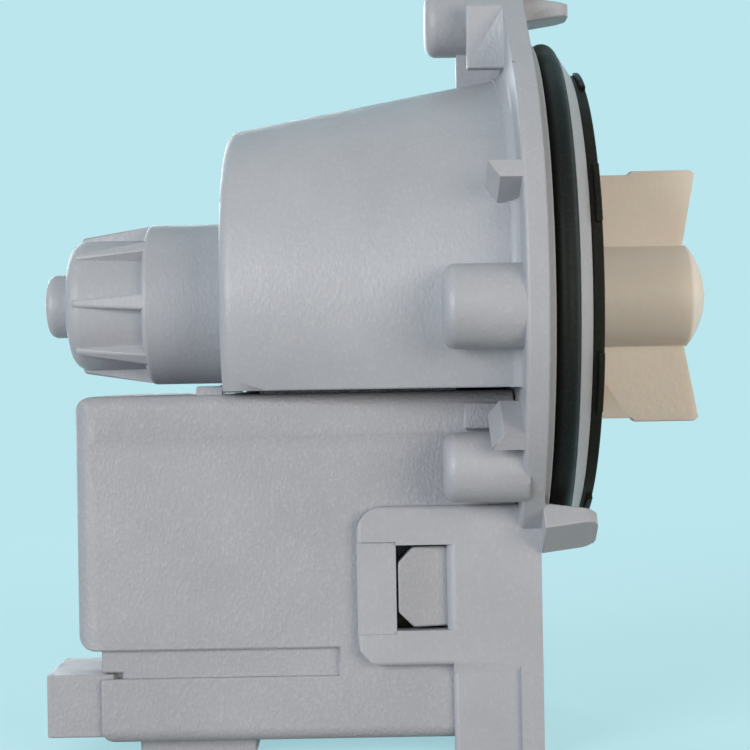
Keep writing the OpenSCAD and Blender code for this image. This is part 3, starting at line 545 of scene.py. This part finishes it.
# %% Duller paper for the light that bounces on
DULL_PAPER = (0.34, 0.33, 0.31, 1)
dull = tree.nodes.new("ShaderNodeBsdfDiffuse")
dull.inputs["Color"].default_value = DULL_PAPER
seen_or_not = tree.nodes.new("ShaderNodeMixShader")
tree.links.new(seen_directly(tree), seen_or_not.inputs["Fac"])
tree.links.new(dull.outputs["BSDF"], seen_or_not.inputs[1])
tree.links.new(near_or_far.outputs["Shader"], seen_or_not.inputs[2])
tree.links.new(seen_or_not.outputs["Shader"], tree.nodes["Material Output"].inputs["Surface"])
dress(paper, studio_floor)

# %% Air and wall
DAYLIGHT = (0.97, 0.98, 1.0)
AIR_STRENGTH = 0.15
world = bpy.data.worlds.new("studio air")
world.use_nodes = True
tree = world.node_tree
air = tree.nodes["Background"]
air.inputs["Color"].default_value = (*DAYLIGHT, 1)
air.inputs["Strength"].default_value = AIR_STRENGTH
wall = tree.nodes.new("ShaderNodeBackground")
wall.inputs["Color"].default_value = WALL
air_or_wall = tree.nodes.new("ShaderNodeMixShader")
tree.links.new(seen_directly(tree), air_or_wall.inputs["Fac"])
tree.links.new(air.outputs["Background"], air_or_wall.inputs[1])
tree.links.new(wall.outputs["Background"], air_or_wall.inputs[2])
tree.links.new(air_or_wall.outputs["Shader"], tree.nodes["World Output"].inputs["Surface"])
bpy.context.scene.world = world
print("world nodes:", len(tree.nodes))

# %% [markdown]
# Lamps
#
# The photograph is lit from the left of the camera: faces that look at the camera are bright, tops are a
# step darker, and the flange throws its shade over the spigot, the hook tabs and the impeller, which get a
# weaker, warm light from the right. So the key stands on the left, the fill on the right is warm, and the
# top lamp only lifts the upper faces. A rear and a front lamp light the sides that this camera doesn't see.

# %% Five soft lamps
WARM = (1.0, 0.89, 0.77)
SLIGHTLY_WARM = (1.0, 0.95, 0.88)


def soft_lamp(name, place, size, watts, colour=(1, 1, 1)):
    """A square area lamp that faces the middle of the pump."""
    lamp = bpy.data.lights.new(name, "AREA")
    lamp.size = size
    lamp.energy = watts
    lamp.color = colour
    holder = bpy.data.objects.new(name, lamp)
    bpy.context.scene.collection.objects.link(holder)
    target = (cad_low + cad_high) / 2
    holder.location = place
    holder.rotation_euler = (target - Vector(place)).to_track_quat("-Z", "Y").to_euler()
    print(name, "lamp at", round((target - Vector(place)).length, 2), "m")
    return holder


soft_lamp("key", (-0.62, -0.66, 0.14), size=0.5, watts=5.7, colour=DAYLIGHT)
soft_lamp("fill", (0.46, -0.66, 0.06), size=0.5, watts=3.5, colour=WARM)
soft_lamp("top", (-0.25, 0.05, 0.8), size=0.6, watts=0.45)
soft_lamp("rear", (-0.35, 0.80, 0.10), size=0.6, watts=4.2, colour=DAYLIGHT)
soft_lamp("front", (0.85, 0.12, 0.12), size=0.6, watts=2.2, colour=SLIGHTLY_WARM)

# %% [markdown]
# Camera
#
# The photograph looks square at the side of the pump from close by. Its circles give the distance and the
# height of the eye: 265 mm from the rotor axis and 12 mm below it, with a roll of one degree.

# %% Place the camera
IMAGE_PX = 750
EYE = Vector((-23.65, -265.0, -11.7)) * MM
PX_PER_MM = 6.3
LEVEL = math.radians(90)
ROLL = math.radians(1.0)
camera = bpy.data.cameras.new("shot")
camera.sensor_width = 36
camera.lens = camera.sensor_width * PX_PER_MM * abs(EYE.y) / MM / IMAGE_PX
camera.clip_start = 10 * MM
shot = bpy.data.objects.new("shot", camera)
bpy.context.scene.collection.objects.link(shot)
shot.location = EYE
shot.rotation_euler = Euler((LEVEL, ROLL, 0), "XYZ")
bpy.context.scene.camera = shot
bpy.context.scene.view_settings.view_transform = "Standard"
print("lens mm:", round(camera.lens, 2))
